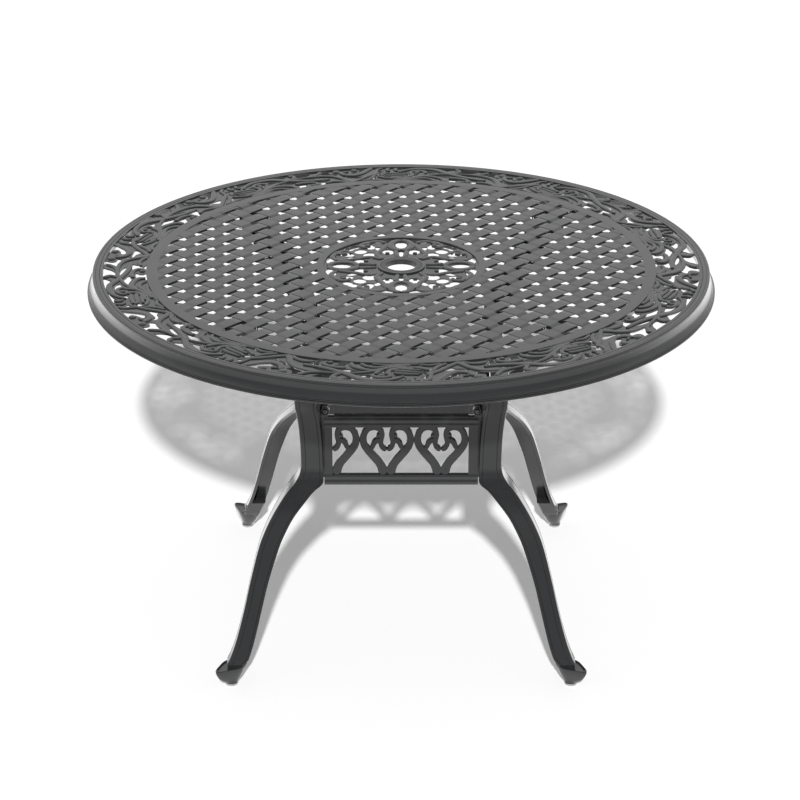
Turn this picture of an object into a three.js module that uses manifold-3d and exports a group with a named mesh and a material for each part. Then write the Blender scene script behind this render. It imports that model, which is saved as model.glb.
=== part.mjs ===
// Round cast-aluminium garden table with a pierced top, an umbrella hole and four bowed legs.
// Millimetres, +Z up, origin on the floor under the middle of the top, +Y towards the back.
import * as THREE from "three";
import { mergeVertices } from "three/addons/utils/BufferGeometryUtils.js";
import Module from "manifold-3d";

const wasm = await Module();
wasm.setup();

// Whole table
const tableHeight = 732;
const lipRadius = 609.5;
const seatGap = 0.3; // clearance between seated pieces
const overrun = 1; // of a cut past a face, and of a joined piece into its carrier
const weldTolerance = 1e-4;

// Rim casting: flat band, moulded skirt and the ledge that carries the grille
const ringSegments = 48;
const skirtDrop = 38;
const mouldingReach = 14.5; // from the flat band on top out to the lip
const flatBandWidth = 10.4;
const ledgeWidth = 7;
const ledgeThickness = 5;
// From the flat band outwards to the lip, and from the top down to the skirt's foot
const mouldingShares = [
  [0, 0],
  [0.22, 0.05],
  [0.27, 0.12],
  [0.09, 0.22],
  [0.08, 0.44],
  [0.3, 0.68],
  [0.6, 0.8],
  [0.76, 0.88],
  [1, 0.9],
  [0.97, 1],
];
const skirtInsideShares = [
  [0.62, 1],
  [0.1, 0.82],
  [-0.3, 0.42],
];

// Grille casting: plate, scroll border, woven lattice and medallion
const plateThickness = 6;
const edgeBandWidth = 6.3; // of the grille, outside the scroll border
const borderWidth = 83;
const latticeBandWidth = 22;
const medallionBandWidth = 14;
const medallionRadius = 151;
const ribDepth = 8; // of the stiffening rings under the plate
const ribInset = 3;
const weavePitch = 39.9;
const stripWidth = 27;
const weaveAngle = THREE.MathUtils.degToRad(48.25);
const borderRepeats = 10;
const borderStart = THREE.MathUtils.degToRad(172.36);
// Gaps of one repeat of the border: share of the repeat round the table, share of its width
const borderGapShares = [
  [[-0.109, 0.985], [-0.016, 0.985], [-0.03, 0.85], [-0.016, 0.6], [-0.07, 0.79]],
  [[-0.04, 0.424], [0.048, 0.463], [0.075, 0.498], [-0.008, 0.283]],
  [[0.139, 0.985], [0.179, 0.985], [0.188, 0.839], [0.252, 0.698], [0.125, 0.63]],
  [[0.259, 0.985], [0.371, 0.985], [0.355, 0.722], [0.296, 0.756]],
  [[0.412, 0.985], [0.559, 0.985], [0.479, 0.868], [0.43, 0.78]],
  [[0.24, 0.478], [0.312, 0.595], [0.355, 0.595], [0.304, 0.488]],
  [[0.375, 0.39], [0.431, 0.522], [0.503, 0.454], [0.439, 0.356]],
  [[0.495, 0.659], [0.559, 0.78], [0.585, 0.77], [0.546, 0.605]],
  [[0.195, 0.302], [0.264, 0.312], [0.255, 0.03], [0.204, 0.03]],
  [[0.339, 0.195], [0.399, 0.224], [0.435, 0.03], [0.351, 0.03]],
  [[0.658, 0.976], [0.738, 0.976], [0.716, 0.888]],
  [[0.821, 0.722], [0.847, 0.693], [0.853, 0.546], [0.824, 0.439]],
];
// Gaps of one quarter of the medallion: degrees from the quarter's axis, then shares of the
// medallion's radius for the distance from the middle, half the width and half the length
const medallionGaps = [
  { turn: 0, shares: [0.775, 0.08, 0.106], corners: 6 },
  { turn: 0, shares: [0.444, 0.023, 0.075], corners: 4 },
  { turn: 18, shares: [0.543, 0.06, 0.07], corners: 4 },
  { turn: -18, shares: [0.543, 0.06, 0.07], corners: 4 },
  { turn: 14, shares: [0.92, 0.085, 0.05], corners: 4 },
  { turn: -14, shares: [0.92, 0.085, 0.05], corners: 4 },
  { turn: 31, shares: [0.874, 0.043, 0.09], corners: 4 },
  { turn: -31, shares: [0.874, 0.043, 0.09], corners: 4 },
  { turn: 45, shares: [0.745, 0.063, 0.06], corners: 4 },
  { turn: 45, shares: [0.54, 0.07, 0.09], corners: 4 },
];

// Umbrella hole: collar in the grille, and the loose ring that drops into it
const ringSegmentsAtHole = 30;
const umbrellaBoreRadius = 29;
const sleeveWall = 6.5;
const flangeWidth = 4.5;
const flangeThickness = 3;
const sleeveDepth = 10.5;
const collarWall = 6;
const collarDepth = 12;

// Legs: reach of the outer corner from the table's middle, along X, against height
const legWall = 7;
const legChamfer = 3;
const legFillet = 4;
const armReach = 330;
const armBow = 54; // how far the arm leans in over its first third
const armWidth = 54;
const headReach = 204;
const headRise = 24.5; // of the arm's lower end above the panels
const headWidth = 42;
const kneeReach = 194;
const kneeTopDepth = 346; // below the table's top
const ankleWidth = 36;
const instepHeight = 55;
// Handles of the arm's curve, as shares of its drop, and of the neck's, as a share of its height
const armHandleShares = [0.3, 0.4];
const neckHandleShare = 0.65;
// Stations from the knee to the instep: shares of the drop, of the way out and of the ankle's width
const shinShares = [
  [0.05, 0.03, 1.3],
  [0.09, 0.1, 1.55],
  [0.12, 0.19, 1.4],
  [0.16, 0.28, 1.33],
  [0.24, 0.41, 1.19],
  [0.32, 0.52, 1.14],
  [0.4, 0.6, 1.08],
  [0.58, 0.71, 0.99],
  [0.71, 0.785, 0.96],
  [0.84, 0.87, 0.97],
  [0.93, 0.935, 1],
  [1, 1, 1.03],
];
const footInset = 2; // of the foot's middle, inwards from the arm's reach
const footSplay = 25; // how much further the foot stands out along Y
const toeHalf = 30.8;
const footBottomHeight = 10;
// Slices of the foot with its upturned toe: height from sole to instep, way from the foot's middle
// to the shank's, and way from the toe's size to the shank's
const footSliceShares = [
  [0, 0, 1.5],
  [0.2, 0, 1.42],
  [0.36, -0.05, 1.08],
  [0.52, -0.12, 0.54],
  [0.68, -0.18, 0.08],
  [0.8, -0.2, 0],
  [0.9, 0.45, 0.7],
  [1, 0.95, 1],
  [1.35, 1.4, 1],
];
const footCornerShare = 0.3; // of half the foot's width, cut off each corner
const flangePlateSize = 64;
const flangePlateThickness = 8;
const padSize = 60; // boss under the grille that the leg bolts to
const padDepth = 10;

// Side panels between the legs
const panelReach = 151; // half the opening between two legs
const panelEndGap = 1.8;
const panelFace = 175; // outer face of a panel, from the table's middle
const panelThickness = 10;
const panelBelowKnee = 44.4;
const panelHeight = 149;
const topRail = 26.8;
const bottomRail = 21.7;
const railStep = 2; // how far the rails stand out from the panel
const leftStile = 16.3;
const heartPitch = 105;
const heartsShown = 2.5;
// Right half of one heart's gaps, as shares of half the pitch and of the window's height
const heartOpeningShares = [[0, 0.21], [0.38, 0.47], [0.33, 0.61], [0.15, 0.52], [0, 0.47]];
const heartNotchShares = [[0, 0.57], [0.11, 0.61], [0.12, 0.8], [0.18, 1]];
const heartEyeShares = [[0.31, 0.8], [0.42, 0.61], [0.64, 0.54], [0.73, 0.74], [0.55, 0.9]];
// Right half of the gaps between two hearts, from the line where they touch
const stemGapShares = [[0.73, 0], [0.49, 0.37], [0.14, 0.59], [0, 0.65]];
const crestGapShares = [[0, 0.83], [0.31, 1]];
const seatWidth = 14; // strip of the leg behind the panel's end
const seatThickness = 6.7;
const seatWeb = 7;
const seatRise = 18; // of the seat's foot above the panel's foot

// Fasteners
const screwRadius = 3;
const screwHeadRadius = 5.8;
const screwHeadHeight = 4;
const screwHoleRadius = 3.6;
const screwSides = 6;
const holeSides = 6;
const lugRadius = 9;
const lugSides = 10;
const lugRise = 7.5; // of the upper screws above the panel
const lugStep = 1; // how far the lug stands out from the panel's face
const lugInset = 4; // from the end of the opening to the upper screws' axes
const lugClearance = 0.6; // between a lug and the leg's web beside it
const lowerScrewRise = 30; // of the lower screws above the panel's foot
const lowerScrewInset = 7.6; // from the end of the opening to the lower screws' axes
const screwTail = 2; // past the leg's seat, or short of the bottom of a blind hole
const lowerScrewSkin = 2; // of the panel left over the lower screws' blind holes
const boltRadius = 4;
const boltHeadRadius = 7.5;
const boltHeadHeight = 5.5;
const boltHoleRadius = 4.9;
const boltNearInset = 36;
const boltFarInset = 54;

// Foot glides
const glideRadius = 12;
const glideEdge = 3;
const glideStemRadius = 4;
const glideStemLength = 20;
const glideBoreRadius = 4.9;
const glideSegments = 12;

const flatBandRadius = lipRadius - mouldingReach;
const seamRadius = flatBandRadius - flatBandWidth; // rebate wall round the grille
const grilleRadius = seamRadius - seatGap;
const borderOuterRadius = grilleRadius - edgeBandWidth;
const borderInnerRadius = borderOuterRadius - borderWidth;
const latticeRadius = borderInnerRadius - latticeBandWidth;
const medallionRimRadius = medallionRadius + medallionBandWidth;
const instepReach = armReach;
const footReach = armReach - footInset; // middle of the foot, along X
const kneeTopHeight = tableHeight - kneeTopDepth;
const panelBottomHeight = kneeTopHeight - panelBelowKnee;
const panelTopHeight = panelBottomHeight + panelHeight;
const headHeight = panelTopHeight + headRise;
const lugHeight = panelTopHeight + lugRise;
const lowerScrewHeight = panelBottomHeight + lowerScrewRise;
const lugReach = panelReach - lugInset; // axes of the upper screws, along the panel
const lowerScrewReach = panelReach - lowerScrewInset;

const castingFinish = new THREE.MeshStandardMaterial({ color: 0x2e3032, roughness: 0.42, metalness: 0.3 });
const screwFinish = new THREE.MeshStandardMaterial({ color: 0x3a3b3d, roughness: 0.35, metalness: 0.9 });
const plasticFinish = new THREE.MeshStandardMaterial({ color: 0x8a8b8c, roughness: 0.6, metalness: 0 });
const ringFinish = new THREE.MeshStandardMaterial({ color: 0x2a2b2d, roughness: 0.5, metalness: 0 });

function solidOf(geometry) {
  const loose = geometry.index ? geometry.toNonIndexed() : geometry;
  const bare = new THREE.BufferGeometry().setAttribute("position", loose.getAttribute("position"));
  const merged = mergeVertices(bare, weldTolerance);
  return new wasm.Manifold(
    new wasm.Mesh({
      numProp: 3,
      vertProperties: merged.attributes.position.array,
      triVerts: new Uint32Array(merged.index.array),
    }),
  );
}

function geometryOf(solid) {
  const mesh = solid.getMesh();
  const geometry = new THREE.BufferGeometry();
  geometry.setAttribute("position", new THREE.BufferAttribute(mesh.vertProperties, mesh.numProp));
  geometry.setIndex(new THREE.BufferAttribute(mesh.triVerts, 1));
  const faceted = geometry.toNonIndexed();
  faceted.computeVertexNormals();
  return faceted;
}

function joined(geometries, cuts) {
  let solid = solidOf(geometries[0]);
  for (const geometry of geometries.slice(1)) solid = solid.add(solidOf(geometry));
  for (const geometry of cuts) solid = solid.subtract(solidOf(geometry));
  return geometryOf(solid);
}

// A closed profile of [radius, height] turned about Z
function turned(profile, segments) {
  const points = profile.map(([radius, height]) => new THREE.Vector2(radius, height));
  const closesOnAxis = points[0].x === 0;
  if (THREE.ShapeUtils.isClockWise(points)) points.reverse();
  if (!closesOnAxis) points.push(points[0].clone());
  return new THREE.LatheGeometry(points, segments).rotateX(Math.PI / 2);
}

function circle(radius, sides, turn = 0) {
  return Array.from({ length: sides }, (_, i) => {
    const angle = turn + (i * 2 * Math.PI) / sides;
    return new THREE.Vector2(radius * Math.cos(angle), radius * Math.sin(angle));
  });
}

function pierced(outline, gaps, depth) {
  const shape = new THREE.Shape(outline);
  shape.holes = gaps.map((gap) => new THREE.Path(gap));
  return new THREE.ExtrudeGeometry(shape, { depth, bevelEnabled: false });
}

function block(x, y, z) {
  const [width, depth, height] = [x, y, z].map(([low, high]) => high - low);
  const middle = [x, y, z].map(([low, high]) => (low + high) / 2);
  return new THREE.BoxGeometry(width, depth, height).translate(...middle);
}

// A solid through closed rings of points, lowest first, each counter-clockwise from above
function lofted(rings) {
  const count = rings[0].length;
  const positions = [];
  const face = (...corners) => corners.forEach((corner) => positions.push(corner.x, corner.y, corner.z));
  for (let r = 0; r + 1 < rings.length; r++) {
    for (let i = 0; i < count; i++) {
      const next = (i + 1) % count;
      face(rings[r][i], rings[r][next], rings[r + 1][next]);
      face(rings[r][i], rings[r + 1][next], rings[r + 1][i]);
    }
  }
  const bottom = rings[0];
  const top = rings[rings.length - 1];
  const flat = (ring) => ring.map((point) => new THREE.Vector2(point.x, point.y));
  for (const [a, b, c] of THREE.ShapeUtils.triangulateShape(flat(bottom), [])) {
    face(bottom[c], bottom[b], bottom[a]);
  }
  for (const [a, b, c] of THREE.ShapeUtils.triangulateShape(flat(top), [])) {
    face(top[a], top[b], top[c]);
  }
  return new THREE.BufferGeometry().setAttribute("position", new THREE.Float32BufferAttribute(positions, 3));
}

// A round bar along Z from low to high
function bar(radius, low, high, sides) {
  return new THREE.CylinderGeometry(radius, radius, high - low, sides)
    .rotateX(Math.PI / 2)
    .translate(0, 0, (low + high) / 2);
}

// A screw along Z with its head's seat at zero and its shank going up
function screw(radius, headRadius, headHeight, length) {
  return turned(
    [
      [0, -headHeight],
      [headRadius, -headHeight],
      [headRadius, 0],
      [radius, 0],
      [radius, length],
      [0, length],
    ],
    screwSides,
  );
}

function rim() {
  const reach = lipRadius - flatBandRadius;
  const place = ([outShare, dropShare]) => [
    flatBandRadius + outShare * reach,
    tableHeight - dropShare * skirtDrop,
  ];
  const ledgeTop = tableHeight - plateThickness - seatGap;
  const ledgeBottom = ledgeTop - ledgeThickness;
  const inside = skirtInsideShares.map(place);
  return turned(
    [
      ...mouldingShares.map(place),
      ...inside,
      [inside[inside.length - 1][0], ledgeBottom],
      [seamRadius - ledgeWidth, ledgeBottom],
      [seamRadius - ledgeWidth, ledgeTop],
      [seamRadius, ledgeTop],
      [seamRadius, tableHeight],
    ],
    ringSegments,
  );
}

function latticeGaps() {
  const half = (weavePitch - stripWidth) / 2;
  const diagonal = half * Math.SQRT2;
  const steps = Math.ceil(latticeRadius / weavePitch);
  const gaps = [];
  for (let i = -steps; i < steps; i++) {
    for (let j = -steps; j < steps; j++) {
      const middle = new THREE.Vector2(i + 0.5, j + 0.5).multiplyScalar(weavePitch);
      const reach = middle.length();
      if (reach + diagonal > latticeRadius || reach - diagonal < medallionRimRadius) continue;
      middle.rotateAround(new THREE.Vector2(), weaveAngle);
      gaps.push(circle(diagonal, 4, weaveAngle + Math.PI / 4).map((corner) => corner.add(middle)));
    }
  }
  return gaps;
}

function borderGaps() {
  const gaps = [];
  const repeatAngle = (2 * Math.PI) / borderRepeats;
  for (let k = 0; k < borderRepeats; k++) {
    for (const outline of borderGapShares) {
      gaps.push(
        outline.map(([alongShare, upShare]) => {
          const angle = borderStart + (k + alongShare) * repeatAngle;
          const radius = THREE.MathUtils.lerp(borderInnerRadius, borderOuterRadius, upShare);
          return new THREE.Vector2(radius * Math.cos(angle), radius * Math.sin(angle));
        }),
      );
    }
  }
  return gaps;
}

function medallionCuts() {
  const gaps = [];
  for (let quarter = 0; quarter < 4; quarter++) {
    for (const { turn, shares, corners } of medallionGaps) {
      const [distance, halfWidth, halfLength] = shares.map((share) => share * medallionRadius);
      const angle = (quarter * Math.PI) / 2 + THREE.MathUtils.degToRad(turn);
      const oval = circle(1, corners).map(({ x, y }) => {
        const point = new THREE.Vector2(distance + x * halfLength, y * halfWidth);
        return point.rotateAround(new THREE.Vector2(), angle);
      });
      gaps.push(oval);
    }
  }
  return gaps;
}

const sleeveRadius = umbrellaBoreRadius + sleeveWall;
const collarBore = sleeveRadius + seatGap;
const collarRecess = sleeveRadius + flangeWidth + seatGap;
const collarRadius = collarRecess + collarWall;
const armTopHeight = tableHeight - plateThickness - padDepth - seatGap;

function rib(innerRadius, outerRadius) {
  const top = tableHeight - plateThickness + overrun;
  const bottom = tableHeight - plateThickness - ribDepth;
  return turned(
    [
      [innerRadius, bottom],
      [outerRadius, bottom],
      [outerRadius, top],
      [innerRadius, top],
    ],
    ringSegmentsAtHole,
  );
}

function grille() {
  const plate = pierced(
    circle(grilleRadius, ringSegments),
    [
      ...borderGaps(),
      ...latticeGaps(),
      ...medallionCuts(),
      circle(collarRadius - overrun, ringSegmentsAtHole),
    ],
    plateThickness,
  ).translate(0, 0, tableHeight - plateThickness);
  const recessFloor = tableHeight - flangeThickness - seatGap;
  const collar = turned(
    [
      [collarBore, tableHeight - collarDepth],
      [collarRadius, tableHeight - collarDepth],
      [collarRadius, tableHeight],
      [collarRecess, tableHeight],
      [collarRecess, recessFloor],
      [collarBore, recessFloor],
    ],
    ringSegmentsAtHole,
  );
  const padMiddle = armReach - flangePlateSize / 2;
  const padBottom = armTopHeight + seatGap;
  const pads = [];
  const threads = [];
  for (const sideX of [-1, 1]) {
    for (const sideY of [-1, 1]) {
      const span = (side) => [side * padMiddle - padSize / 2, side * padMiddle + padSize / 2];
      pads.push(block(span(sideX), span(sideY), [padBottom, tableHeight - plateThickness + overrun]));
      for (const [x, y] of boltPlaces()) {
        const thread = bar(boltHoleRadius, padBottom - overrun, tableHeight - plateThickness, holeSides);
        threads.push(thread.translate(sideX * x, sideY * y, 0));
      }
    }
  }
  const rings = [
    rib(latticeRadius + ribInset, borderInnerRadius - ribInset),
    rib(medallionRadius + ribInset, medallionRimRadius - ribInset),
  ];
  return joined([plate, collar, ...rings, ...pads], threads);
}

function umbrellaRing() {
  const top = tableHeight;
  return turned(
    [
      [umbrellaBoreRadius, top - sleeveDepth],
      [sleeveRadius, top - sleeveDepth],
      [sleeveRadius, top - flangeThickness],
      [sleeveRadius + flangeWidth, top - flangeThickness],
      [sleeveRadius + flangeWidth, top],
      [umbrellaBoreRadius, top],
    ],
    ringSegmentsAtHole,
  );
}

// Both bolts of one leg's flange, for the corner on the +X, +Y side
function boltPlaces() {
  return [
    [armReach - boltNearInset, armReach - boltFarInset],
    [armReach - boltFarInset, armReach - boltNearInset],
  ];
}

function splayAt(height) {
  const share = THREE.MathUtils.smoothstep(kneeTopHeight - height, 0, kneeTopHeight - instepHeight);
  return footSplay * share;
}

// Stations of a leg's outer corner from top to instep: reach, height and width of each arm
function legStations() {
  const { lerp } = THREE.MathUtils;
  const point = (reach, height) => new THREE.Vector2(reach, height);
  const armDrop = armTopHeight - headHeight;
  const arm = new THREE.CubicBezierCurve(
    point(armReach, armTopHeight),
    point(armReach - armBow, armTopHeight - armDrop * armHandleShares[0]),
    point(headReach, headHeight + armDrop * armHandleShares[1]),
    point(headReach, headHeight),
  );
  const neck = new THREE.QuadraticBezierCurve(
    point(headReach, headHeight),
    point(kneeReach, lerp(kneeTopHeight, headHeight, neckHandleShare)),
    point(kneeReach, kneeTopHeight),
  );
  const sections = [
    { curve: arm, steps: 6, widths: [armWidth, headWidth] },
    { curve: neck, steps: 3, widths: [headWidth, kneeReach - panelReach] },
  ];
  const stations = [{ reach: armReach, height: armTopHeight, width: armWidth }];
  for (const { curve, steps, widths } of sections) {
    for (let i = 1; i <= steps; i++) {
      const { x, y } = curve.getPoint(i / steps);
      stations.push({ reach: x, height: y, width: lerp(...widths, i / steps) });
    }
  }
  for (const [dropShare, outShare, widthShare] of shinShares) {
    stations.push({
      reach: lerp(kneeReach, instepReach, outShare),
      height: lerp(kneeTopHeight, instepHeight, dropShare),
      width: ankleWidth * widthShare,
    });
  }
  return stations;
}

function reachAt(height) {
  const stations = legStations();
  const below = stations.findIndex((station) => station.height <= height);
  const [upper, lower] = [stations[below - 1], stations[below]];
  const share = (upper.height - height) / (upper.height - lower.height);
  return THREE.MathUtils.lerp(upper.reach, lower.reach, share);
}

// One horizontal slice of the angle section, outer corner at reach
function angleSlice({ reach, height, width }) {
  const inner = legWall + legFillet;
  const outline = [
    [legChamfer, 0],
    [width, 0],
    [width, legWall],
    [inner, legWall],
    [legWall, inner],
    [legWall, width],
    [0, width],
    [0, legChamfer],
  ];
  return outline.map(([p, q]) => new THREE.Vector3(reach - p, reach + splayAt(height) - q, height));
}

function squareSlice(middleX, half, height) {
  const chamfer = half * footCornerShare;
  const middleY = middleX + splayAt(height);
  const corners = [
    [half, half - chamfer],
    [half - chamfer, half],
    [chamfer - half, half],
    [-half, half - chamfer],
    [-half, chamfer - half],
    [chamfer - half, -half],
    [half - chamfer, -half],
    [half, chamfer - half],
  ];
  return corners.map(([x, y]) => new THREE.Vector3(middleX + x, middleY + y, height));
}

function foot() {
  const shank = ankleWidth / 2;
  const { lerp } = THREE.MathUtils;
  const slices = footSliceShares.map(([riseShare, shiftShare, sizeShare]) =>
    squareSlice(
      lerp(footReach, instepReach - shank, shiftShare),
      lerp(toeHalf, shank, sizeShare),
      lerp(footBottomHeight, instepHeight, riseShare),
    ),
  );
  return lofted(slices);
}

// Rebate on the leg that takes the end of a panel lying along X
function panelSeat() {
  const front = panelFace - panelThickness - seatGap;
  const back = front - seatThickness;
  const side = lugReach + lugRadius + lugClearance;
  const slice = (height) => {
    const web = reachAt(height) - legWall / 2;
    return [
      [panelReach - seatWidth, back],
      [side + seatWeb, back],
      [side + seatWeb, web],
      [side, web],
      [side, front],
      [panelReach - seatWidth, front],
    ].map(([x, y]) => new THREE.Vector3(x, y, height));
  };
  const low = panelBottomHeight + seatRise;
  const high = lugHeight + lugRadius + lugStep;
  const bends = legStations().map(({ height }) => height).filter((height) => height > low && height < high);
  return [high, ...bends, low].reverse().map(slice);
}

function leg() {
  const shell = lofted(legStations().reverse().map(angleSlice));
  const flange = block(
    [armReach - flangePlateSize, armReach - overrun],
    [armReach - flangePlateSize, armReach - overrun],
    [armTopHeight - flangePlateThickness, armTopHeight],
  );
  const seatX = panelSeat();
  const seatY = seatX.map((slice) => slice.map(({ x, y, z }) => new THREE.Vector3(y, x, z)).reverse());
  const cuts = [
    bar(glideBoreRadius, footBottomHeight - overrun, glideStemLength + footBottomHeight + overrun, holeSides)
      .translate(footReach, footReach + footSplay, 0),
  ];
  for (const [x, y] of boltPlaces()) {
    const low = armTopHeight - flangePlateThickness - overrun;
    cuts.push(bar(boltHoleRadius, low, armTopHeight + overrun, holeSides).translate(x, y, 0));
  }
  const holeStart = panelFace - panelThickness - seatThickness - overrun;
  for (const [across, height] of [[lugReach, lugHeight], [lowerScrewReach, lowerScrewHeight]]) {
    const hole = bar(screwHoleRadius, holeStart, panelFace, holeSides);
    cuts.push(hole.clone().rotateX(-Math.PI / 2).translate(across, 0, height));
    cuts.push(hole.clone().rotateY(Math.PI / 2).translate(0, across, height));
  }
  return joined([shell, foot(), flange, lofted(seatX), lofted(seatY)], cuts);
}

// A half outline mirrored at a line, or closed along that line where it is a side of the window
function mirroredGap(shares, middle, windowWidth, windowHeight, bottom, left) {
  const place = (side) => ([outShare, upShare]) => {
    const x = left + middle + (side * outShare * heartPitch) / 2;
    return new THREE.Vector2(x, bottom + upShare * windowHeight);
  };
  const first = shares[0];
  const last = shares[shares.length - 1];
  const closing = [last, first].filter(([outShare]) => outShare !== 0).map(([, upShare]) => [0, upShare]);
  if (middle < heartPitch / 4) return [...shares, ...closing].map(place(1));
  if (middle > windowWidth - heartPitch / 4) return [...shares, ...closing].map(place(-1)).reverse();
  const offLine = shares.filter(([outShare]) => outShare !== 0);
  return [...shares.map(place(1)), ...offLine.map(place(-1)).reverse()];
}

function panelGaps() {
  const windowWidth = heartsShown * heartPitch;
  const windowHeight = panelHeight - topRail - bottomRail;
  const left = panelEndGap - panelReach + leftStile;
  const bottom = panelBottomHeight + bottomRail;
  const gaps = [];
  for (let middle = 0; middle < windowWidth; middle += heartPitch) {
    for (const shares of [heartOpeningShares, heartNotchShares]) {
      gaps.push(mirroredGap(shares, middle, windowWidth, windowHeight, bottom, left));
    }
    for (const side of middle === 0 ? [1] : [-1, 1]) {
      const eye = heartEyeShares.map(([outShare, upShare]) => {
        const x = left + middle + (side * outShare * heartPitch) / 2;
        return new THREE.Vector2(x, bottom + upShare * windowHeight);
      });
      gaps.push(eye);
    }
    for (const shares of [stemGapShares, crestGapShares]) {
      gaps.push(mirroredGap(shares, middle + heartPitch / 2, windowWidth, windowHeight, bottom, left));
    }
  }
  return gaps;
}

// The panel facing -Y: drawn upright as seen from outside, then turned to face outwards
function panel() {
  const end = panelReach - panelEndGap;
  const sheet = block([-end, end], [panelBottomHeight, panelTopHeight], [0, panelThickness]);
  const railDepth = [0, panelThickness + railStep];
  const rails = [
    block([-end, end], [panelTopHeight - topRail, panelTopHeight], railDepth),
    block([-end, end], [panelBottomHeight, panelBottomHeight + bottomRail], railDepth),
  ];
  const lugs = [];
  const through = panelThickness + 2 * overrun;
  const cuts = panelGaps().map((gap) => pierced(gap, [], through).translate(0, 0, -overrun));
  for (const side of [-1, 1]) {
    const x = side * lugReach;
    const lug = bar(lugRadius, 0, panelThickness + lugStep, lugSides);
    const neckHeights = [panelTopHeight - overrun, lugHeight];
    const neck = block([x - lugRadius, x + lugRadius], neckHeights, [0, panelThickness]);
    lugs.push(lug.translate(x, lugHeight, 0), neck);
    const upperHole = bar(screwHoleRadius, -overrun, panelThickness + lugStep + overrun, holeSides);
    const lowerHole = bar(screwHoleRadius, -overrun, panelThickness - lowerScrewSkin, holeSides);
    cuts.push(upperHole.translate(x, lugHeight, 0));
    cuts.push(lowerHole.translate(side * lowerScrewReach, lowerScrewHeight, 0));
  }
  return joined([sheet, ...rails, ...lugs], cuts)
    .rotateX(Math.PI / 2)
    .translate(0, panelThickness - panelFace, 0);
}

function glide() {
  const top = footBottomHeight - seatGap;
  return turned(
    [
      [0, 0],
      [glideRadius - glideEdge, 0],
      [glideRadius, glideEdge],
      [glideRadius, top],
      [glideStemRadius, top],
      [glideStemRadius, top + glideStemLength],
      [0, top + glideStemLength],
    ],
    glideSegments,
  );
}

const table = new THREE.Group();

function add(parent, name, geometry, material) {
  const mesh = new THREE.Mesh(geometry, material);
  mesh.name = name;
  parent.add(mesh);
  return mesh;
}

add(table, "top_rim", rim(), castingFinish);
add(table, "top_grille", grille(), castingFinish);
add(table, "umbrella_ring", umbrellaRing(), ringFinish);

// One corner's pieces, for the +X, +Y corner; the other corners mirror it
const legShape = leg();
const glideShape = glide();
const seatBack = panelFace - panelThickness - seatGap - seatThickness;
const upperShank = panelFace + lugStep - seatBack + screwTail;
const lowerShank = panelFace - lowerScrewSkin - screwTail - seatBack;
const upperScrewShape = screw(screwRadius, screwHeadRadius, screwHeadHeight, upperShank);
const lowerScrewShape = screw(screwRadius, screwHeadRadius, screwHeadHeight, lowerShank);
const boltLength = flangePlateThickness + padDepth - screwTail;
const boltShape = screw(boltRadius, boltHeadRadius, boltHeadHeight, boltLength);
const corners = [
  ["front_left", -1, -1],
  ["front_right", 1, -1],
  ["rear_left", -1, 1],
  ["rear_right", 1, 1],
];
for (const [place, sideX, sideY] of corners) {
  const corner = new THREE.Group();
  corner.scale.set(sideX, sideY, 1);
  table.add(corner);
  add(corner, "leg_" + place, legShape, castingFinish);
  const footGlide = add(corner, "foot_glide_" + place, glideShape, plasticFinish);
  footGlide.position.set(footReach, footReach + footSplay, 0);
  boltPlaces().forEach(([x, y], i) => {
    const bolt = add(corner, "leg_bolt_" + place + "_" + (i + 1), boltShape, screwFinish);
    bolt.position.set(x, y, armTopHeight - flangePlateThickness - seatGap);
  });
  // Upper screws go in from outside, lower ones from inside; a panel along X, then one along Y
  const upper = panelFace + lugStep + seatGap;
  const lower = seatBack - seatGap;
  const alongX = add(corner, "upper_screw_" + place + "_x", upperScrewShape, screwFinish);
  alongX.position.set(lugReach, upper, lugHeight);
  alongX.rotation.x = Math.PI / 2;
  const alongY = add(corner, "upper_screw_" + place + "_y", upperScrewShape, screwFinish);
  alongY.position.set(upper, lugReach, lugHeight);
  alongY.rotation.y = -Math.PI / 2;
  const innerX = add(corner, "lower_screw_" + place + "_x", lowerScrewShape, screwFinish);
  innerX.position.set(lowerScrewReach, lower, lowerScrewHeight);
  innerX.rotation.x = -Math.PI / 2;
  const innerY = add(corner, "lower_screw_" + place + "_y", lowerScrewShape, screwFinish);
  innerY.position.set(lower, lowerScrewReach, lowerScrewHeight);
  innerY.rotation.y = Math.PI / 2;
}

const panelShape = panel();
["front", "right", "rear", "left"].forEach((place, i) => {
  add(table, "heart_panel_" + place, panelShape, castingFinish).rotation.z = (i * Math.PI) / 2;
});

export default table;
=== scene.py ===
# Umbrella table: charcoal powder-coated castings with a pierced top, bowed legs and heart panels.
from math import ceil, cos, hypot, pi, radians, sin, sqrt

import bmesh
import bpy
import numpy as np
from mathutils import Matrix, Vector
from mathutils.geometry import delaunay_2d_cdt


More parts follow.
